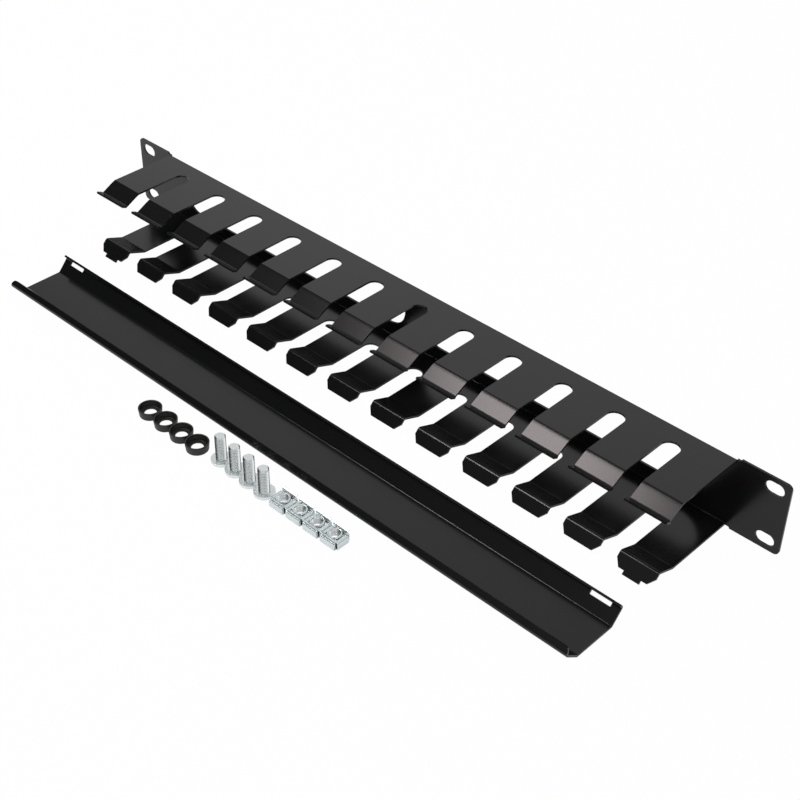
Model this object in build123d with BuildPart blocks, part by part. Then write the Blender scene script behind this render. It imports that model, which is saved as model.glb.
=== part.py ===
"""Horizontal cable manager for a 19 inch rack, one rack unit high, in millimetres.

The kit lies as it comes out of its bag. The body stands on the floor with its
mounting plate upright, its clip-on cover lies open side up before it, and
between them stand four cup washers, four screws and four cage nuts.

X runs along the length, -Y is the open front of the cable channel, +Z is up.
The origin is the middle of the face that meets the rack rails.
"""
import os
from math import cos, radians, sin, tan

from build123d import *

# Steel sheet of the body and the cover
sheet = 1.2
bend_inner = 0.8
bend_outer = bend_inner + sheet

# Mounting plate, to the 19 inch rack standard
plate_width = 482.6
plate_height = 44.0
plate_corner = 3.0
ear_width = 30.635
rack_slot_inset_x = 8.75
rack_slot_inset_z = 6.125
rack_slot_length = 10.6
rack_slot_width = 7.0
relief_width = 2.4
relief_depth = 1.0
relief_corner = 0.9

# Two long windows in the back of the cable channel
window_sill = 9.4
window_end_margin = 14.0
window_inner_end = 7.7

# Fingers cut into the top and the bottom of the channel
channel_depth = 43.5
finger_count = 13
finger_gap = 10.4
top_gap_root = 10.2
bottom_gap_root = 13.4

# Ends of the top fingers: a slope down, then a wider lip turned up a little
slope_angle = 27.5
slope_length = 10.9
lip_angle = 24.0
lip_length = 4.5
lip_overhang = 0.9

# Ends of the bottom fingers: a ramp up, then a tip down with cut corners
ramp_angle = 21.0
ramp_length = 12.3
tip_angle = 46.5
tip_length = 8.05
tip_corner_along = 4.15
tip_corner_across = 3.15
end_tab_width = 9.8
end_tab_length = 2.1

# Cover, a flared tray that clips over the finger ends, measured on its outside
cover_web = 25.7
hook_flange = 11.1
hook_flare = 47.5
hook_lip = 3.2
hook_lip_angle = 52.0
snap_flange = 11.8
snap_flare = 37.5
snap_lip = 4.8
snap_lip_angle = 48.0
snap_lip_corner = 3.0
tab_slot_clearance = 1.25
tab_slot_width = 2.25
tab_slot_below_corner = 1.1
cover_shift = 1.3
cover_distance = 106.15

# Black plastic cup washers
washer_diameter = 13.2
washer_height = 4.8
washer_bore = 6.6
washer_foot = 0.7
washer_base = 0.8
washer_rim = 0.9
washer_taper = 0.5
washer_first = (-62.1, -141.8)
washer_pitch = (13.37, -0.4)

# M6 rack screws, standing on their heads
thread_size = 6.0
screw_head_diameter = 11.4
screw_head_height = 2.2
screw_head_round = 0.8
screw_shank_length = 15.0
screw_end_chamfer = 0.6
recess_width = 1.2
recess_length = 5.4
recess_depth = 1.5
recess_taper = 8.0
screw_first = (-5.2, -140.8)
screw_pitch = (11.54, -0.55)

# Spring steel cages of the cage nuts
cage_sheet = 0.6
cage_bend = 0.15
cage_length = 12.0
cage_depth = 10.9
cage_height = 4.6
cage_bore = 7.8
leg_width = 9.7
leg_span = 9.0
leg_height = 6.5
leg_lip = 1.5
leg_lip_angle = 20.0
strap_width = 7.6
strap_lip = 1.4

# Square nuts inside the cages
nut_side = 9.3
nut_corner = 0.4
nut_thickness = 3.2
nut_collar_diameter = 7.6
nut_collar_height = 5.0
thread_minor = 5.0
nut_chamfer = 0.5
nut_first = (43.05, -142.0)
nut_pitch = (12.24, 0.0)

row_count = 4

# Sizes that follow from the ones above
rack_slot_columns = plate_width - 2 * rack_slot_inset_x
rack_slot_rows = plate_height - 2 * rack_slot_inset_z
flange_half = plate_width / 2 - ear_width
finger_pitch = (2 * flange_half + finger_gap) / finger_count
finger_width = finger_pitch - finger_gap
channel_height = plate_height - 2 * relief_depth
inner_half_height = channel_height / 2 - sheet
window_height = channel_height - 2 * window_sill
window_outer_end = flange_half - window_end_margin
reach = plate_height


def walk(start, length, angle):
    """The point length away from start, angle degrees up from straight forward."""
    forward = start[0] - length * cos(radians(angle))
    up = start[1] + length * sin(radians(angle))
    return (forward, up)


def folded(line, thickness, inner):
    """Corners of a folded sheet that lies to the left of line, and the radius of each."""
    points = [Vector(*point) for point in line]
    lefts = [(b - a).normalized().rotate(Axis.Z, 90) for a, b in zip(points, points[1:])]
    far_side = [points[0] + lefts[0] * thickness]
    radii = [0]
    far_radii = [0]
    for point, before, after in zip(points[1:], lefts, lefts[1:]):
        far_side.append(point + (before + after) * (thickness / (1 + before.dot(after))))
        turns_left = before.cross(after).Z > 0
        radii.append(inner + thickness if turns_left else inner)
        far_radii.append(inner if turns_left else inner + thickness)
    far_side.append(points[-1] + lefts[-1] * thickness)
    return points + far_side[::-1], radii + [0, 0] + far_radii[::-1]


# Line of the channel side of the sheet, from the top lip round to the bottom tip
top_shoulder = (-sheet - channel_depth, inner_half_height)
top_lip_root = walk(top_shoulder, slope_length, -slope_angle)
top_lip_end = walk(top_lip_root, lip_length, lip_angle)
lip_bend = bend_outer * tan(radians(slope_angle + lip_angle) / 2)
lip_flat_start = walk(top_lip_root, lip_bend, lip_angle)
bottom_shoulder = (-sheet - channel_depth, -inner_half_height)
bottom_crest = walk(bottom_shoulder, ramp_length, ramp_angle)

blank_tip_length = tip_length + end_tab_length
bottom_tip_end = walk(bottom_crest, blank_tip_length, -tip_angle)

# The kit lies on the plane that the end tabs of the body reach
floor = bottom_tip_end[1] - sheet * cos(radians(tip_angle))

channel_line = [
    top_lip_end,
    top_lip_root,
    top_shoulder,
    (-sheet, inner_half_height),
    (-sheet, -inner_half_height),
    bottom_shoulder,
    bottom_crest,
    bottom_tip_end,
]

with BuildPart() as rack_body:
    # Folded channel, full length, its flanges still whole
    corners, radii = folded(channel_line, sheet, bend_inner)
    with BuildSketch(Plane.YZ):
        with BuildLine():
            FilletPolyline(*corners, radius=radii, close=True)
        make_face()
    extrude(amount=flange_half, both=True)

    # Ears beyond the flanges, with a relief notch beside each bend
    with BuildSketch(Plane.XZ):
        RectangleRounded(plate_width, plate_height, plate_corner)
        Rectangle(2 * flange_half, plate_height, mode=Mode.SUBTRACT)
        with GridLocations(
            2 * flange_half + relief_width,
            plate_height - relief_depth,
            2,
            2,
        ):
            Rectangle(relief_width, relief_depth, mode=Mode.SUBTRACT)
    extrude(amount=sheet)
    notch_roots = (
        rack_body.edges()
        .filter_by(Axis.Y)
        .filter_by(lambda e: abs(abs(e.center().X) - flange_half - relief_width) < sheet / 10)
        .filter_by(lambda e: abs(e.center().Z) < (plate_height - relief_depth) / 2)
    )
    fillet(notch_roots, radius=relief_corner)

    # Rack slots in the ears and the two windows
    with BuildSketch(Plane.XZ):
        with GridLocations(rack_slot_columns, rack_slot_rows, 2, 2):
            SlotOverall(rack_slot_length, rack_slot_width)
        with GridLocations(window_outer_end + window_inner_end, 0, 2, 1):
            SlotOverall(window_outer_end - window_inner_end, window_height)
    extrude(amount=bend_outer, both=True, mode=Mode.SUBTRACT)

    # Gaps between the fingers, open at the front and round at the root
    for root, side in ((top_gap_root, 1), (bottom_gap_root, -1)):
        gap_start = -sheet - root - finger_gap / 2
        with BuildSketch(Plane.XY):
            with Locations((0, gap_start - reach)):
                with GridLocations(finger_pitch, 0, finger_count - 1, 1):
                    SlotCenterToCenter(2 * reach, finger_gap, rotation=90)
        extrude(amount=side * plate_height, mode=Mode.SUBTRACT)

    # Lips, wider than the top fingers that they end
    corners, radii = folded([top_lip_end, lip_flat_start], sheet, bend_inner)
    with BuildSketch(Plane.YZ):
        with BuildLine():
            Polyline(*corners, close=True)
        make_face()
    lip = extrude(amount=finger_width / 2 + lip_overhang, both=True, mode=Mode.PRIVATE)
    with GridLocations(finger_pitch, 0, finger_count, 1):
        add(lip)

    # Cut corners of the bottom tips, leaving a tab on the first and the last
    tip_plane = Plane(
        origin=(0, bottom_crest[0], bottom_crest[1]),
        x_dir=(1, 0, 0),
        z_dir=(0, -sin(radians(tip_angle)), cos(radians(tip_angle))),
    )
    with BuildSketch(tip_plane):
        corner_start = -(tip_length - tip_corner_along)
        waste = blank_tip_length + sheet + corner_start
        with Locations((0, corner_start - waste / 2)):
            Rectangle(2 * flange_half, waste)
        with GridLocations(finger_pitch, 0, finger_count, 1):
            Polygon(
                (-finger_width / 2, corner_start),
                (finger_width / 2, corner_start),
                (finger_width / 2 - tip_corner_across, -tip_length),
                (-finger_width / 2 + tip_corner_across, -tip_length),
                align=None,
                mode=Mode.SUBTRACT,
            )
        with GridLocations((finger_count - 1) * finger_pitch, 0, 2, 1):
            with Locations((0, -blank_tip_length / 2)):
                Rectangle(end_tab_width, blank_tip_length, mode=Mode.SUBTRACT)
    extrude(amount=2 * sheet, both=True, mode=Mode.SUBTRACT)
rack_body.part.label = "rack_body"

# Line of the outside of the cover, from the near lip round to the far lip
near_bend = (-cover_distance - cover_web / 2, floor)
far_bend = (-cover_distance + cover_web / 2, floor)
near_corner = walk(near_bend, snap_flange, snap_flare)
far_corner = walk(far_bend, hook_flange, 180 - hook_flare)
tray_line = [
    walk(near_corner, snap_lip, 180 - snap_lip_angle),
    near_corner,
    near_bend,
    far_bend,
    far_corner,
    walk(far_corner, hook_lip, hook_lip_angle),
]
cover_length = 2 * flange_half

with BuildPart() as cover:
    # Folded tray
    corners, radii = folded(tray_line, sheet, bend_inner)
    with BuildSketch(Plane.YZ.offset(cover_shift)):
        with BuildLine():
            FilletPolyline(*corners, radius=radii, close=True)
        make_face()
    extrude(amount=cover_length / 2, both=True)

    # Slots that snap over the tabs of the first and the last bottom finger
    flange_plane = Plane(
        origin=(cover_shift, far_corner[0], far_corner[1]),
        x_dir=(1, 0, 0),
        z_dir=(0, -sin(radians(hook_flare)), cos(radians(hook_flare))),
    )
    with BuildSketch(flange_plane):
        with Locations((0, -tab_slot_below_corner - tab_slot_width / 2)):
            with GridLocations((finger_count - 1) * finger_pitch, 0, 2, 1):
                Rectangle(end_tab_width + 2 * tab_slot_clearance, tab_slot_width)
    extrude(amount=2 * sheet, both=True, mode=Mode.SUBTRACT)

    # Round corners at the ends of the near lip
    snap_corners = (
        cover.edges()
        .filter_by(lambda e: abs(e.length - sheet) < sheet / 10)
        .filter_by(lambda e: e.center().Z > near_corner[1] + snap_lip / 2)
        .filter_by(lambda e: e.center().Y < near_bend[0])
    )
    fillet(snap_corners, radius=snap_lip_corner)
cover.part.label = "cover"

# One cup washer, standing on its rim at the origin
with BuildPart() as washer_form:
    outer = washer_diameter / 2
    with BuildSketch(Plane.XZ):
        with BuildLine():
            Polyline(
                (washer_bore / 2, washer_foot),
                (outer - washer_rim - washer_taper, washer_foot),
                (outer - washer_rim - washer_taper, 0),
                (outer - washer_taper, 0),
                (outer, washer_height),
                (outer - washer_rim, washer_height),
                (outer - washer_rim - washer_taper, washer_foot + washer_base),
                (washer_bore / 2, washer_foot + washer_base),
                close=True,
            )
        make_face()
    revolve(axis=Axis.Z)

# One screw, standing on its head at the origin
with BuildPart() as screw_form:
    with BuildSketch(Plane.XZ):
        with BuildLine():
            crown = screw_head_diameter / 2 - screw_head_round
            top = screw_head_height + screw_shank_length
            Line((0, 0), (crown, 0))
            RadiusArc((crown, 0), (screw_head_diameter / 2, screw_head_round), -screw_head_round)
            Polyline(
                (screw_head_diameter / 2, screw_head_round),
                (screw_head_diameter / 2, screw_head_height),
                (thread_size / 2, screw_head_height),
                (thread_size / 2, top - screw_end_chamfer),
                (thread_size / 2 - screw_end_chamfer, top),
                (0, top),
                (0, 0),
            )
        make_face()
    revolve(axis=Axis.Z)
    with BuildSketch(Plane.XY):
        Rectangle(recess_length, recess_width)
        Rectangle(recess_width, recess_length)
    extrude(amount=recess_depth, taper=recess_taper, mode=Mode.SUBTRACT)

# One cage: a base with a bore, two legs that spread through the rack hole
# and two straps that hold the nut down
with BuildPart() as cage_form:
    inner_y = cage_depth / 2 - cage_sheet
    inner_x = cage_length / 2 - cage_sheet
    inner_top = cage_height - cage_sheet
    inner_leg = leg_span / 2 - cage_sheet
    lip_run = leg_lip * cos(radians(leg_lip_angle))
    lip_rise = leg_lip * sin(radians(leg_lip_angle))
    far_leg = [
        (inner_leg + lip_run, leg_height + lip_rise),
        (inner_leg, leg_height),
        (inner_leg, inner_top),
        (inner_y, inner_top),
        (inner_y, cage_sheet),
    ]
    near_leg = [(-y, z) for y, z in reversed(far_leg)]
    corners, radii = folded(far_leg + near_leg, cage_sheet, cage_bend)
    with BuildSketch(Plane.YZ):
        with BuildLine():
            FilletPolyline(*corners, radius=radii, close=True)
        make_face()
    extrude(amount=leg_width / 2, both=True)
    right_strap = [
        (inner_x - strap_lip, inner_top),
        (inner_x, inner_top),
        (inner_x, cage_sheet),
    ]
    left_strap = [(-x, z) for x, z in reversed(right_strap)]
    corners, radii = folded(right_strap + left_strap, cage_sheet, cage_bend)
    with BuildSketch(Plane.XZ):
        with BuildLine():
            FilletPolyline(*corners, radius=radii, close=True)
        make_face()
    extrude(amount=strap_width / 2, both=True)
    with BuildSketch(Plane.XY):
        Circle(cage_bore / 2)
    extrude(amount=cage_sheet, mode=Mode.SUBTRACT)

# One square nut with its round collar, at the height it has in a cage
with BuildPart() as nut_form:
    with BuildSketch(Plane.XY.offset(cage_sheet)):
        RectangleRounded(nut_side, nut_side, nut_corner)
    extrude(amount=nut_thickness)
    with BuildSketch(Plane.XY.offset(cage_sheet + nut_thickness)):
        Circle(nut_collar_diameter / 2)
    extrude(amount=nut_collar_height - nut_thickness)
    with BuildSketch(Plane.XY.offset(cage_sheet)):
        Circle(thread_minor / 2)
    extrude(amount=nut_collar_height, mode=Mode.SUBTRACT)
    bore_rims = (
        nut_form.edges()
        .filter_by(GeomType.CIRCLE)
        .filter_by(lambda e: abs(e.radius - thread_minor / 2) < cage_bend)
    )
    chamfer(bore_rims, length=nut_chamfer)


def spot(index, first, pitch):
    """Where piece number index of a row stands on the floor."""
    return (first[0] + index * pitch[0], first[1] + index * pitch[1], floor)


rows = (
    ("cup_washer", washer_form, washer_first, washer_pitch),
    ("rack_screw", screw_form, screw_first, screw_pitch),
    ("nut_cage", cage_form, nut_first, nut_pitch),
    ("square_nut", nut_form, nut_first, nut_pitch),
)
pieces = [rack_body, cover]
for name, form, first, pitch in rows:
    for index in range(row_count):
        with BuildPart() as copy:
            with Locations(spot(index, first, pitch)):
                add(form.part)
        copy.part.label = f"{name}_{index + 1}"
        pieces.append(copy)

os.makedirs("parts", exist_ok=True)
for piece in pieces:
    export_step(piece.part, f"parts/{piece.part.label}.step")
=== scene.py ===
# %% [markdown]
# # A cable manager kit laid out on a white floor
#
# Their exact shapes come from the CAD model, in metres and in one shared frame.
# This lesson adds what makes them look real: softened sheet edges, screw
# threads, finishes, a floor, lamps and a camera.

# %% Load the CAD model as a fixed frame
from math import cos, degrees, exp, pi, radians, tan, tau
from random import Random

import bmesh
import bpy
from mathutils import Matrix, Vector


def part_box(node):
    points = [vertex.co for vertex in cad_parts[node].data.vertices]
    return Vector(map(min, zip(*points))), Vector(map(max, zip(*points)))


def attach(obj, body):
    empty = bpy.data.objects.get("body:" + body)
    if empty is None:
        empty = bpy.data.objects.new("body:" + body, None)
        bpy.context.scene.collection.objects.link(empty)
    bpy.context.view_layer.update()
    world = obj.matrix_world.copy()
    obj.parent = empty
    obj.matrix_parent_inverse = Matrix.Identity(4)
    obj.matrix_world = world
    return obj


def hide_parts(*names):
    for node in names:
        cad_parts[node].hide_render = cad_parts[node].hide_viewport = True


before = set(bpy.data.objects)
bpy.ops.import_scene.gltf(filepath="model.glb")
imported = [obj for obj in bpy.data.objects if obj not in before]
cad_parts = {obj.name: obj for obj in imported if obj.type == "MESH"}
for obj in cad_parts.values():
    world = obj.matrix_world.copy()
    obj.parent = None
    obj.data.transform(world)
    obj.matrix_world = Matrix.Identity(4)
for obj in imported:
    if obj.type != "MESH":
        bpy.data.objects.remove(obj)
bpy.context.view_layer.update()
scene = bpy.context.scene
scene.view_settings.view_transform = "Standard"
mm = 0.001
print("CAD nodes:", len(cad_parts))

# %% [markdown]
#
# The washers stand on the floor, so the lowest point of a washer's box is the
# height of the floor. It could be a typed number, but read from the CAD model it
# stays right when a size changes there.

# %% Floor height
floor_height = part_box("cup_washer_1")[0].z
print("floor at", round(floor_height / mm, 2), "mm")

# %% [markdown]
# ## The camera
#
# A product photographer stood to the right and above, with a long lens. The
# camera can be aimed with a tracking constraint, but a plain matrix of its
# three axes is exact and stays put: right, up, and back away from the view.

# %% Camera at the photograph's angle
camera_place = Vector((0.47768, -0.51768, 0.48911))
camera_back = Vector((0.5423, -0.5734, 0.6140)).normalized()
about_right = Vector((0.7214, 0.6925, 0.0096)).normalized()
camera_up = camera_back.cross(about_right).normalized()
camera_right = camera_up.cross(camera_back)
sensor_width = 36.0
focal_length = 68.865

lens = bpy.data.cameras.new("camera")
lens.sensor_width = sensor_width
lens.lens = focal_length
lens.clip_start = 0.05
lens.clip_end = 20.0
camera = bpy.data.objects.new("camera", lens)
turned = Matrix((camera_right, camera_up, camera_back)).transposed().to_4x4()
camera.matrix_world = Matrix.Translation(camera_place) @ turned
scene.collection.objects.link(camera)
scene.camera = camera
print("camera is", round(camera_place.length, 3), "m from the origin")

# %% [markdown]
# ## Building with nodes
#
# Finishes, threads and the studio are all built from nodes. Nodes can be wired
# by hand in the editor. One small helper does it here instead: it makes a node,
# sets it up, and feeds each of its inputs either a plain value or another
# node's output. A second one does sums, and a third maps one range onto
# another.

# %% Helpers for nodes
def add_node(tree, kind, feeds=None, **settings):
    """A node with these settings, whose inputs take outputs or plain values."""
    node = tree.nodes.new(kind)
    for name, value in settings.items():
        setattr(node, name, value)
    for name, value in (feeds or {}).items():
        if isinstance(value, bpy.types.NodeSocket):
            tree.links.new(value, node.inputs[name])
        else:
            node.inputs[name].default_value = value
    return node


def calculate(tree, operation, *values):
    """The result of a sum on outputs or plain values."""
    feeds = dict(enumerate(values))
    return add_node(tree, "ShaderNodeMath", feeds, operation=operation).outputs[0]


def map_range(tree, value, start, end, low=0.0, high=1.0, kind="SMOOTHSTEP"):
    """Low where the value is at its start, high at its end, a blend in the middle."""
    feeds = {
        "Value": value,
        "From Min": start,
        "From Max": end,
        "To Min": low,
        "To Max": high,
    }
    ramp = add_node(tree, "ShaderNodeMapRange", feeds, interpolation_type=kind)
    return ramp.outputs["Result"]


# %% [markdown]
# ## Finishes, from nodes
#
# A real finish is a colour and a gloss with small faults in both. It could be
# a photographed texture, but noise needs no image and has no seams. Every
# finish below is one Principled shader whose plain numbers stand on its own
# sockets, and under it a fine noise in Object coordinates, whose scale is
# real: spots of 0.4 mm are a noise scale of one over 0.0004.

# %% Helpers for finishes
noise_low, noise_high = 0.3, 0.7


def finish(name, color, roughness, metallic=0.0, specular=0.5):
    """A new material with one Principled shader, and that shader."""
    material = bpy.data.materials.new(name)
    material.use_nodes = True
    shader = material.node_tree.nodes["Principled BSDF"]
    shader.inputs["Base Color"].default_value = (*color, 1.0)
    shader.inputs["Roughness"].default_value = roughness
    shader.inputs["Metallic"].default_value = metallic
    shader.inputs["Specular IOR Level"].default_value = specular
    return material, shader


def grain(material, feature, detail=2.0, stretch=(1, 1, 1)):
    """Noise with spots of that feature size in metres, on Object coordinates."""
    tree = material.node_tree
    place = add_node(tree, "ShaderNodeTexCoord")
    mapping = add_node(
        tree, "ShaderNodeMapping", {"Vector": place.outputs["Object"], "Scale": stretch}
    )
    noise = add_node(
        tree,
        "ShaderNodeTexNoise",
        {"Vector": mapping.outputs["Vector"], "Scale": 1 / feature, "Detail": detail},
    )
    return noise.outputs["Fac"]


def wander_gloss(material, shader, value, low, high):
    """Roughness that wanders between low and high with the noise."""
    tree = material.node_tree
    gloss = map_range(tree, value, noise_low, noise_high, low, high, "LINEAR")
    tree.links.new(gloss, shader.inputs["Roughness"])


def emboss(material, shader, value, depth):
    """Raise the surface by up to depth metres where the value is high."""
    tree = material.node_tree
    feeds = {"Strength": 1.0, "Distance": depth, "Height": value}
    bump = add_node(tree, "ShaderNodeBump", feeds)
    tree.links.new(bump.outputs["Normal"], shader.inputs["Normal"])


def tint(material, shader, value, dark, light):
    """Base colour that wanders between two close colours."""
    tree = material.node_tree
    feeds = {"A": (*dark, 1.0), "B": (*light, 1.0), "Factor": value}
    mix = add_node(tree, "ShaderNodeMix", feeds, data_type="RGBA")
    tree.links.new(mix.outputs["Result"], shader.inputs["Base Color"])


# %% [markdown]
# ## Black powder coat
#
# The channel and the cover are steel sheet under a baked black powder. The
# powder melts into a film with a faint orange peel, about half a millimetre
# from bump to bump, and a semi-gloss that varies slowly over the sheet. Over
# a cut edge the film is thin and scuffed, so the edges get a paler finish of
# their own. That paler grey is partly the wear and partly a painted highlight:
# it stands in for the light that the round edge catches. It could be found by a
# worn-edge mask, but a second material on the rounded edges alone is exact and
# exports as it is.

# %% Powder coat materials
peel_spot, peel_depth = 0.6 * mm, 0.0015 * mm
patch_spot = 40 * mm
rim_tone_spot = 3 * mm

powder_coat, coat_shader = finish(
    "black_powder_coat", (0.006, 0.0068, 0.0065), 0.2, specular=0.38
)
coat_shader.inputs["Specular Tint"].default_value = (1.0, 0.95, 0.985, 1.0)
emboss(powder_coat, coat_shader, grain(powder_coat, peel_spot, detail=1.0), peel_depth)
patches = grain(powder_coat, patch_spot, detail=1.0)
wander_gloss(powder_coat, coat_shader, patches, 0.19, 0.21)
tint(powder_coat, coat_shader, patches, (0.0054, 0.0062, 0.0059), (0.0066, 0.0073, 0.007))

# The rim's grey, up to 0.34, is partly thin scuffed coat and partly a painted highlight for
# the light that a round edge catches.
coat_rim_worn_and_lit, rim_shader = finish("powder_coat_rim", (0.1, 0.1, 0.1), 0.3, specular=0.6)
rim_wear_and_highlight = grain(coat_rim_worn_and_lit, rim_tone_spot)
tint(coat_rim_worn_and_lit, rim_shader, rim_wear_and_highlight, (0.1, 0.1, 0.1), (0.34, 0.335, 0.33))
print("coats:", powder_coat.name, "and", coat_rim_worn_and_lit.name)

# %% [markdown]
# ## Black plastic
#
# Cup washers are moulded in nylon. The mould leaves a dull, slightly warm
# black with a very fine texture. A plain rough shader would do from afar. The
# fine bumps break up the highlight on the rims when they are seen close.

# %% Plastic material
pore_spot, pore_depth = 0.35 * mm, 0.01 * mm

plastic, plastic_shader = finish("black_plastic", (0.009, 0.0078, 0.0072), 0.42)
pores = grain(plastic, pore_spot)
emboss(plastic, plastic_shader, pores, pore_depth)
tint(plastic, plastic_shader, pores, (0.006, 0.0052, 0.0048), (0.013, 0.0112, 0.0104))
print("plastic:", plastic.name)

# %% [markdown]
# ## Bright zinc plate
#
# Screws, nuts and cages are plated with zinc and a thin clear chromate, which
# gives a silver with a cold, blue-green cast. It is a metal of low roughness
# with small uneven spots where the plating bath left them. The cages are cut
# from rolled strip, so their spots are drawn out along it and they shine less.
# A mirror-like metal would be simpler, but it sparkles on such small pieces.

# %% Zinc materials
bath_spot = 1.2 * mm
dimple_spot, dimple_depth = 0.4 * mm, 0.006 * mm
rolled_spot, rolled_depth = 0.9 * mm, 0.001 * mm
along_the_strip = (0.2, 1, 1)

zinc, zinc_shader = finish("zinc_plate", (0.85, 0.9, 0.9), 0.24, metallic=1.0)
bath = grain(zinc, bath_spot, detail=3.0)
tint(zinc, zinc_shader, bath, (0.8, 0.86, 0.87), (0.94, 0.96, 0.96))
wander_gloss(zinc, zinc_shader, bath, 0.2, 0.3)
emboss(zinc, zinc_shader, grain(zinc, dimple_spot), dimple_depth)

spring, spring_shader = finish(
    "plated_spring_steel", (0.7, 0.75, 0.77), 0.24, metallic=1.0
)
rolled = grain(spring, rolled_spot, detail=3.0, stretch=along_the_strip)
tint(spring, spring_shader, rolled, (0.72, 0.82, 0.84), (0.9, 0.94, 0.95))
wander_gloss(spring, spring_shader, rolled, 0.36, 0.46)
emboss(spring, spring_shader, rolled, rolled_depth)
print("plated:", zinc.name, "and", spring.name)

# %% [markdown]
# ## A thread that follows a spiral
#
# The screws and the nuts have threads, and a thread is one ridge that follows a
# spiral. It could be a Screw modifier on a drawn profile. A Geometry Nodes tree
# does the same with sizes that have names. First come those names: what a
# screw or a nut can ask of its thread.

# %% Inputs of the thread tree
thread_tree = bpy.data.node_groups.new("thread ridge", "GeometryNodeTree")
thread_sockets = {}
for way in ("INPUT", "OUTPUT"):
    thread_tree.interface.new_socket(
        "Geometry", in_out=way, socket_type="NodeSocketGeometry"
    )
for name, kind in (
    ("Radius", "NodeSocketFloat"),
    ("Pitch", "NodeSocketFloat"),
    ("Length", "NodeSocketFloat"),
    ("Ridge", "NodeSocketFloat"),
    ("Place", "NodeSocketVector"),
    ("Turn", "NodeSocketFloat"),
    ("Material", "NodeSocketMaterial"),
):
    made = thread_tree.interface.new_socket(name, in_out="INPUT", socket_type=kind)
    thread_sockets[name] = made.identifier
given = add_node(thread_tree, "NodeGroupInput").outputs
print("a thread takes:", ", ".join(thread_sockets))

# %% [markdown]
# ## The path of the thread
#
# A thread climbs by one pitch in every turn. Its path could be worked out point
# by point, but the Spiral node has it ready: as many turns as pitches fit in
# the length. Its normals are set upright, so that what is swept along it never
# twists.

# %% Spiral path
steps_per_turn = 32

turn_count = calculate(thread_tree, "DIVIDE", given["Length"], given["Pitch"])
spiral = add_node(
    thread_tree,
    "GeometryNodeCurveSpiral",
    {
        "Resolution": steps_per_turn,
        "Rotations": turn_count,
        "Start Radius": given["Radius"],
        "End Radius": given["Radius"],
        "Height": given["Length"],
    },
)
upright = add_node(
    thread_tree, "GeometryNodeSetCurveNormal", {"Curve": spiral.outputs["Curve"]}, mode="Z_UP"
)
print("spiral has", steps_per_turn, "steps in a turn")

# %% [markdown]
# ## The ridge of the thread
#
# A rolled thread is a row of V-shaped ridges. A drawn V could be swept along
# the path, but a square that stands on its corner gives the same crest and
# hides its other half in the shank. It is as high as the ridge and one pitch
# wide, so one turn touches the next.

# %% Ridge swept along the path
profile_corners = 4

half_pitch = calculate(thread_tree, "MULTIPLY", given["Pitch"], 0.5)
size = add_node(thread_tree, "ShaderNodeCombineXYZ", {"X": given["Ridge"], "Y": half_pitch})
square = add_node(
    thread_tree,
    "GeometryNodeCurvePrimitiveCircle",
    {"Resolution": profile_corners, "Radius": 1.0},
)
profile = add_node(
    thread_tree,
    "GeometryNodeTransform",
    {"Geometry": square.outputs["Curve"], "Scale": size.outputs[0]},
)
sweep = add_node(
    thread_tree,
    "GeometryNodeCurveToMesh",
    {
        "Curve": upright.outputs["Curve"],
        "Profile Curve": profile.outputs["Geometry"],
        "Fill Caps": True,
    },
)
print("profile of the ridge has", profile_corners, "corners")

# %% [markdown]
# ## A crisp crest
#
# Smooth shading would melt the crest into the root. The whole ridge could be
# shaded flat, which shows its steps. Only the edges that bend by more than 35
# degrees are marked sharp, and the steps along the spiral stay smooth.

# %% Crisp edges of the ridge
sharp_beyond = radians(35)

bend = add_node(thread_tree, "GeometryNodeInputMeshEdgeAngle")
sharp = add_node(
    thread_tree,
    "FunctionNodeCompare",
    {"A": bend.outputs["Unsigned Angle"], "B": sharp_beyond},
    operation="GREATER_THAN",
)
crisp = add_node(
    thread_tree,
    "GeometryNodeSetShadeSmooth",
    {
        "Geometry": sweep.outputs["Mesh"],
        "Selection": sharp.outputs["Result"],
        "Shade Smooth": False,
    },
    domain="EDGE",
)
print("edges stay crisp beyond", round(degrees(sharp_beyond)), "degrees")

# %% [markdown]
# ## Thread and piece become one
#
# The ridge is moved to its place, turned to where it starts, and joined to
# the piece that carries it. They could stay two objects, but a screw is one
# piece of steel, so both leave as one mesh with one material.

# %% Place, join and finish the thread
angle = add_node(thread_tree, "ShaderNodeCombineXYZ", {"Z": given["Turn"]})
move = add_node(
    thread_tree,
    "GeometryNodeTransform",
    {
        "Geometry": crisp.outputs["Geometry"],
        "Translation": given["Place"],
        "Rotation": angle.outputs[0],
    },
)
join = add_node(thread_tree, "GeometryNodeJoinGeometry", {"Geometry": given["Geometry"]})
thread_tree.links.new(move.outputs["Geometry"], join.inputs["Geometry"])
real = add_node(
    thread_tree, "GeometryNodeRealizeInstances", {"Geometry": join.outputs["Geometry"]}
)
paint = add_node(
    thread_tree,
    "GeometryNodeSetMaterial",
    {"Geometry": real.outputs["Geometry"], "Material": given["Material"]},
)
add_node(thread_tree, "NodeGroupOutput", {"Geometry": paint.outputs["Geometry"]})


def add_thread(piece, material, sizes):
    """A modifier that winds a thread round or inside a piece."""
    winding = piece.modifiers.new("thread", "NODES")
    winding.node_group = thread_tree
    for name, value in sizes.items():
        winding[thread_sockets[name]] = value
    winding[thread_sockets["Material"]] = material


print("thread tree has", len(thread_tree.nodes), "nodes")

# %% [markdown]
# ## A joined copy of a CAD piece
#
# CAD sheet has knife edges, but a coated or plated edge is round, and that
# round catches the light as a thin line. To round an edge, Blender has to see
# it: a CAD node's mesh is loose triangles. It could be remeshed, which blurs
# it. Merging a copy and dissolving its flat triangles keeps every edge where
# it was. A reshape, where one is given, works on the merged copy.

# %% Helper that joins the triangles of a CAD node
merge_distance = 0.002 * mm
cut_tolerance = 0.001 * mm
flat_within = radians(0.2)


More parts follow.
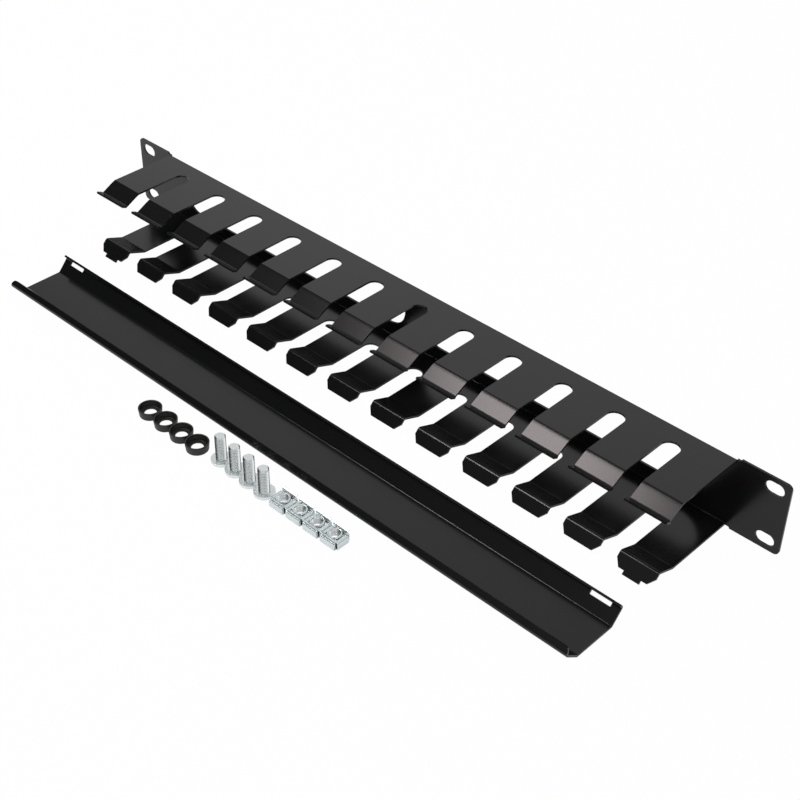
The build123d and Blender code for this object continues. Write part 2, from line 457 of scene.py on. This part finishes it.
def joined_copy(node, reshape):
    """A mesh of a CAD node with its doubles merged and its flat faces whole."""
    shape = bmesh.new()
    shape.from_mesh(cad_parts[node].data)
    bmesh.ops.remove_doubles(shape, verts=shape.verts, dist=merge_distance)
    if reshape:
        reshape(shape)
    bmesh.ops.dissolve_limit(
        shape,
        angle_limit=flat_within,
        verts=shape.verts,
        edges=shape.edges,
        delimit={"NORMAL"},
    )
    mesh = bpy.data.meshes.new(node + "_soft")
    shape.to_mesh(mesh)
    shape.free()
    return mesh


# %% [markdown]
# ## Softened edges
#
# A Bevel modifier rounds every edge that bends by more than 35 degrees, and
# can give the new faces a material of their own. Weighted normals keep the
# flat faces flat, which auto smoothing alone would not. Then the thread winds
# on, and the finished mesh takes the place of the CAD node.

# %% Helper that copies a CAD node with softened edges
first_material, second_material, same_material = 0, 1, -1


def round_edges(piece, width, segments, edge_material):
    """Round the sharp edges of a piece and keep its flat faces flat."""
    bevel = piece.modifiers.new("round edges", "BEVEL")
    bevel.width = width
    bevel.segments = segments
    bevel.limit_method = "ANGLE"
    bevel.angle_limit = sharp_beyond
    bevel.material = edge_material
    even = piece.modifiers.new("flat faces stay flat", "WEIGHTED_NORMAL")
    even.mode = "FACE_AREA"
    even.weight = 100


def softened(node, width, segments, material, reshape=None, rim=None, thread=None):
    """A copy of a CAD node with round edges, which stands for that node."""
    mesh = joined_copy(node, reshape)
    mesh.materials.append(material)
    if rim:
        mesh.materials.append(rim)
    piece = bpy.data.objects.new(node + "_soft", mesh)
    scene.collection.objects.link(piece)
    round_edges(piece, width, segments, second_material if rim else same_material)
    mesh.shade_smooth()
    if thread:
        add_thread(piece, material, thread)
    bpy.context.view_layer.update()
    made = bpy.data.meshes.new_from_object(
        piece.evaluated_get(bpy.context.evaluated_depsgraph_get())
    )
    piece.modifiers.clear()
    piece.data = made
    if thread:
        # The joined ridge brings an empty material slot, so the slots are laid anew.
        made.materials.clear()
        made.materials.append(material)
        slots = [first_material] * len(made.polygons)
        made.polygons.foreach_set("material_index", slots)
    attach(piece, "root")
    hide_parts(node)
    print(piece.name, "has", len(made.polygons), "faces")
    return piece


# %% [markdown]
# ## The first bend of the upper fingers
#
# A press brake doesn't leave one round bend between two flats: the sheet
# springs back and curves on a little past the tool. On the slopes of the upper
# fingers this shows as a soft change of tone. A subdivided bend could be drawn
# anew. It is simpler to cut the slopes of the CAD model into narrow strips and
# lift each to a height that follows a rule. The numbers are the CAD model's
# bend line, slope and radius, and how the real bend seems to run out.

# %% Rule for the softened bend
shoulder = Vector((0, -44.99 * mm, 21.0 * mm))
slope = radians(27.5)
bend_radius = 2.0 * mm
run_in = 0.5 * mm
first_slope = radians(12)
fade = 1.4 * mm
height_steps = 40


def cad_height(y):
    """Height of the top of a finger at y in the CAD model, whose bend is round."""
    reach = bend_radius * tan(slope / 2)
    if y > shoulder.y + reach:
        return shoulder.z
    if y < shoulder.y - reach * cos(slope):
        return shoulder.z - (shoulder.y - y) * tan(slope)
    across = y - (shoulder.y + reach)
    return shoulder.z - bend_radius + (bend_radius**2 - across**2) ** 0.5


def pressed_height(y):
    """The same height where the slope steepens slowly after the bend."""
    forward = shoulder.y + run_in - y
    if forward < 0:
        return shoulder.z
    height = shoulder.z
    for step in range(height_steps):
        along = forward * (step + 0.5) / height_steps
        angle = slope - (slope - first_slope) * exp(-along / fade)
        if along < 2 * run_in:
            angle = min(angle, first_slope * along / (2 * run_in) + (angle - first_slope))
        height -= tan(angle) * forward / height_steps
    return height


for y in (-45 * mm, -47 * mm, -50 * mm):
    lift = pressed_height(y) - cad_height(y)
    print("lift at y", round(y / mm), "mm is", round(lift / mm, 2), "mm")

# %% [markdown]
# ## The channel and the cover
#
# Both are bent from 1.2 mm sheet. Their shapes are right in the CAD model and
# could be used as they are, but knife edges reflect nothing. The cut edges
# are rounded by about the thickness of the coat. Those of the channel, which
# rubs against its cover, also get the paler rim. It is partly scuffed coat and
# partly a painted highlight on the round.

# %% Channel body and cover
only_upper_fingers = 10 * mm
strip_count = 14
softened_length = 6.0 * mm
coat_round = 0.25 * mm


def soften_shoulder(shape):
    """Let the slopes of the upper fingers curve out of their bend."""
    for cut in range(strip_count + 1):
        y = shoulder.y + run_in - cut * softened_length / strip_count
        near = [f for f in shape.faces if f.calc_center_median().z > only_upper_fingers]
        edges = {e for f in near for e in f.edges}
        verts = {v for f in near for v in f.verts}
        bmesh.ops.bisect_plane(
            shape,
            geom=near + list(edges) + list(verts),
            dist=cut_tolerance,
            plane_co=(0, y, 0),
            plane_no=(0, 1, 0),
        )
    for v in shape.verts:
        if v.co.z > only_upper_fingers:
            v.co.z += pressed_height(v.co.y) - cad_height(v.co.y)


body = softened(
    "rack_body", coat_round, 2, powder_coat, soften_shoulder, coat_rim_worn_and_lit
)
cover = softened("cover", coat_round / 2, 2, powder_coat)

# %% [markdown]
# ## Cup washers
#
# A cup washer is a moulded plastic ring whose rim guards the painted sheet from
# the screw head. A mould leaves every edge a little round. A profile could be
# spun here, but the CAD model turned it already, so only its edges are rounded.

# %% Cup washers
row_count = 4
washer_round = 0.25 * mm

row = range(1, row_count + 1)
washers = [
    softened(f"cup_washer_{i}", washer_round, 3, plastic) for i in row
]

# %% [markdown]
# ## Shanks that make room for a thread
#
# Each M6 screw stands on its head. The CAD model has a plain shank as thick as
# the crests of the thread. A displaced texture could fake the thread. Here the
# shank shrinks to the root of the thread, so that a real ridge can stand on it.
# The last turn at the tip stays a plain collar, as rolling leaves it.

# %% Sizes of the thread and the shrunk shank
pitch = 1.0 * mm
crest = 3.0 * mm
ridge = 0.62 * mm
root = crest - ridge
root_gap = 0.02 * mm
screw_head = 2.2 * mm
collar = 1.1 * mm
slack = 0.1 * mm


def foot(node):
    """Middle of the underside of a CAD node."""
    low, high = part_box(node)
    return Vector(((low.x + high.x) / 2, (low.y + high.y) / 2, low.z))


def shrink_shank(node):
    """A reshape that pulls the shank of a standing screw in to the thread root."""
    middle, top = foot(node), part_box(node)[1].z
    lowest, highest = middle.z + screw_head - slack, top - collar + slack

    def reshape(shape):
        bmesh.ops.bisect_plane(
            shape,
            geom=list(shape.verts) + list(shape.edges) + list(shape.faces),
            dist=cut_tolerance,
            plane_co=(0, 0, top - collar),
            plane_no=(0, 0, 1),
        )
        for v in shape.verts:
            side = Vector((v.co.x - middle.x, v.co.y - middle.y))
            if lowest < v.co.z < highest and root < side.length < crest + slack:
                side = side.normalized() * (root + root_gap)
                v.co.x, v.co.y = middle.x + side.x, middle.y + side.y

    return reshape


print("thread from", round(root / mm, 2), "to", round(crest / mm, 2), "mm radius")

# %% [markdown]
# ## Screws with their threads
#
# The ridge comes from the thread tree, which starts it a little inside the
# head, where nobody sees its end. All four could be one screw, copied, but
# then their threads would line up. A seeded turn makes each stand its own way.

# %% Screws
screw_round = 0.15 * mm
sunk_start = 0.3 * mm
turns = Random(6)


def screw_thread(node):
    """Sizes and place of the ridge round one screw."""
    middle, top = foot(node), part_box(node)[1].z
    start = middle.z + screw_head - sunk_start
    return {
        "Radius": root,
        "Pitch": pitch,
        "Length": top - collar - start,
        "Ridge": ridge,
        "Place": (middle.x, middle.y, start),
        "Turn": turns.uniform(0, tau),
    }


def threaded(node, width, reshape, thread):
    """A zinc plated piece with round edges and a thread."""
    return softened(
        node, width, 2, zinc, reshape=reshape, thread=thread
    )


screws = [
    threaded(node, screw_round, shrink_shank(node), screw_thread(node))
    for node in (f"rack_screw_{i}" for i in row)
]

# %% [markdown]
# ## Cages
#
# A cage nut is a square nut held loosely by a folded cage of spring steel. The
# cage could be bent here from strips, but the CAD model holds its folds. It
# needs only its edges rounded, by less than half of its thin sheet.

# %% Cages
cage_round = 0.14 * mm
cages = [
    softened(f"nut_cage_{i}", cage_round, 2, spring) for i in row
]

# %% [markdown]
# ## Threaded nuts
#
# The bore of a nut is widened to the root of its thread, and the same tree
# puts the ridge inside it, so screw and nut share one pitch. A cut with a
# screw-shaped tool would be truer to the tap, and far slower.

# %% Nuts
nut_round = 0.12 * mm
bore = 2.5 * mm
bore_root = bore + 0.95 * ridge
thread_inset = 0.6 * mm


def widen_bore(node):
    """A reshape that pushes the bore of a nut out to its thread root."""
    middle = foot(node)

    def reshape(shape):
        for v in shape.verts:
            side = Vector((v.co.x - middle.x, v.co.y - middle.y))
            if side.length < bore_root:
                side = side.normalized() * bore_root
                v.co.x, v.co.y = middle.x + side.x, middle.y + side.y

    return reshape


def nut_thread(node):
    """Sizes and place of the ridge inside one nut."""
    middle, top = foot(node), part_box(node)[1].z
    return {
        "Radius": bore + ridge,
        "Pitch": pitch,
        "Length": top - middle.z - 2 * thread_inset,
        "Ridge": ridge,
        "Place": (middle.x, middle.y, middle.z + thread_inset),
        "Turn": turns.uniform(0, tau),
    }


nuts = [
    threaded(node, nut_round, widen_bore(node), nut_thread(node))
    for node in (f"square_nut_{i}" for i in row)
]
pieces = [body, cover, *washers, *screws, *cages, *nuts]
print("pieces made:", len(pieces))

# %% [markdown]
# ## What camera and mirrors see
#
# A studio picture is often lit so that the ground comes out white, whatever
# the lamps do to the piece. That could be done by cutting the piece out. Here
# each ray of light is asked where it comes from, the camera, a gloss or a matt
# face, and one shader or the other answers.

# %% Helpers for what camera and mirrors see
white = (1, 1, 1, 1)


def choose(tree, weight, first, second):
    """The first shader where the weight is 0 and the second where it is 1."""
    feeds = {0: weight, 1: first.outputs[0], 2: second.outputs[0]}
    return add_node(tree, "ShaderNodeMixShader", feeds)


def mirror_ray(tree, path):
    """1 for a ray that a gloss or a clear piece sends on, and 0 for the others."""
    glossy, clear = path.outputs["Is Glossy Ray"], path.outputs["Is Transmission Ray"]
    return calculate(tree, "MAXIMUM", glossy, clear)


# %% [markdown]
# ## Floor
#
# The floor could be a bright plain white, but that would either burn out or
# turn grey. Mirrors see half of that glow, so the plated pieces get light
# edges. The sheet is small: reflections that leave the black coat at a low
# angle pass beyond it, and stay dark.

# %% Floor
matt_white = (0.75, 0.75, 0.75, 1)
camera_glow = 0.985
mirror_glow = 0.5
floor_half = 0.75

floor_finish = bpy.data.materials.new("white_floor")
floor_finish.use_nodes = True
sheet = floor_finish.node_tree
sheet.nodes.clear()
path = add_node(sheet, "ShaderNodeLightPath")
matt = add_node(sheet, "ShaderNodeBsdfDiffuse", {"Color": matt_white})
glow = add_node(sheet, "ShaderNodeEmission", {"Color": white, "Strength": 1.0})
in_mirrors = calculate(sheet, "MULTIPLY", mirror_ray(sheet, path), mirror_glow)
seen_glow = calculate(
    sheet, "MULTIPLY_ADD", path.outputs["Is Camera Ray"], camera_glow, in_mirrors
)
floor_shader = choose(sheet, seen_glow, matt, glow)
add_node(sheet, "ShaderNodeOutputMaterial", {"Surface": floor_shader.outputs[0]})

corners = ((-1, -1), (1, -1), (1, 1), (-1, 1))
floor_mesh = bpy.data.meshes.new("floor")
floor_mesh.from_pydata(
    [(x * floor_half, y * floor_half, floor_height) for x, y in corners],
    [],
    [(0, 1, 2, 3)],
)
floor_mesh.materials.append(floor_finish)
floor = bpy.data.objects.new("floor", floor_mesh)
scene.collection.objects.link(floor)
print("floor is", 2 * floor_half, "m wide")

# %% [markdown]
#
# Real walls could stand there, but they would take light from the lamps. The
# world does it by direction instead. Reflections see the wall (y), the right
# hand side (x), the ceiling (z) and a dark horizon, diffuse light comes in
# evenly, and the camera sees plain white.

# %% World
even_light = 0.6

world = bpy.data.worlds.new("studio")
scene.world = world
world.use_nodes = True
studio = world.node_tree
studio.nodes.clear()


def sky(strength):
    """One white background shader of the world."""
    return add_node(studio, "ShaderNodeBackground", {"Color": white, "Strength": strength})


direction = add_node(studio, "ShaderNodeTexCoord")
axes = add_node(
    studio, "ShaderNodeSeparateXYZ", {0: direction.outputs["Generated"]}
).outputs
wall = map_range(studio, axes["Y"], 0.22, 0.58)
side = map_range(studio, axes["X"], -0.65, 0.0, 0.0, 0.6)
ceiling = map_range(studio, axes["Z"], 0.55, 1.0, 1.0, 0.2)
horizon = map_range(studio, axes["Z"], 0.2, 0.45, 0.05, 1.0)

wall_above = calculate(studio, "MULTIPLY", wall, horizon)
wall_between = calculate(studio, "MULTIPLY", wall_above, ceiling)
side_above = calculate(studio, "MULTIPLY", side, horizon)
room = sky(calculate(studio, "MAXIMUM", wall_between, side_above))

path = add_node(studio, "ShaderNodeLightPath")
seen = choose(studio, mirror_ray(studio, path), sky(even_light), room)
seen = choose(studio, path.outputs["Is Camera Ray"], seen, sky(1.0))
add_node(studio, "ShaderNodeOutputWorld", {"Surface": seen.outputs[0]})
print("studio has", len(studio.nodes), "nodes")

# %% [markdown]
# ## Lamps
#
# The boxes could be glowing planes, but area lamps give the same reflection
# with less noise. A narrow strip box, further to the front, draws the thin
# bright lines on the bends. A lamp's power grows with its area, so each is
# given as a glow per area. A plain flat emitter sends out pi times its glow.

# %% Lamps
lamp_height = 1.2
warm_white = (1.0, 0.95, 0.92)
cool_white = (0.96, 1.0, 0.98)


def soft_box(name, left, right, along, depth, glow, color):
    lamp = bpy.data.lights.new(name, "AREA")
    lamp.shape = "RECTANGLE"
    lamp.size = right - left
    lamp.size_y = depth
    lamp.energy = glow * (right - left) * depth * pi
    lamp.color = color
    holder = bpy.data.objects.new(name, lamp)
    holder.matrix_world = Matrix.Translation(((left + right) / 2, along, lamp_height))
    scene.collection.objects.link(holder)
    print(name, "has", round(lamp.energy, 2), "W")


soft_box("soft_box_middle", -0.7, -0.335, -0.26, 0.4, 11.5, warm_white)
soft_box("soft_box_edge", -0.82, -0.24, -0.26, 0.42, 0.8, warm_white)
soft_box("strip_box", -0.95, -0.5, -0.62, 0.05, 40.0, cool_white)
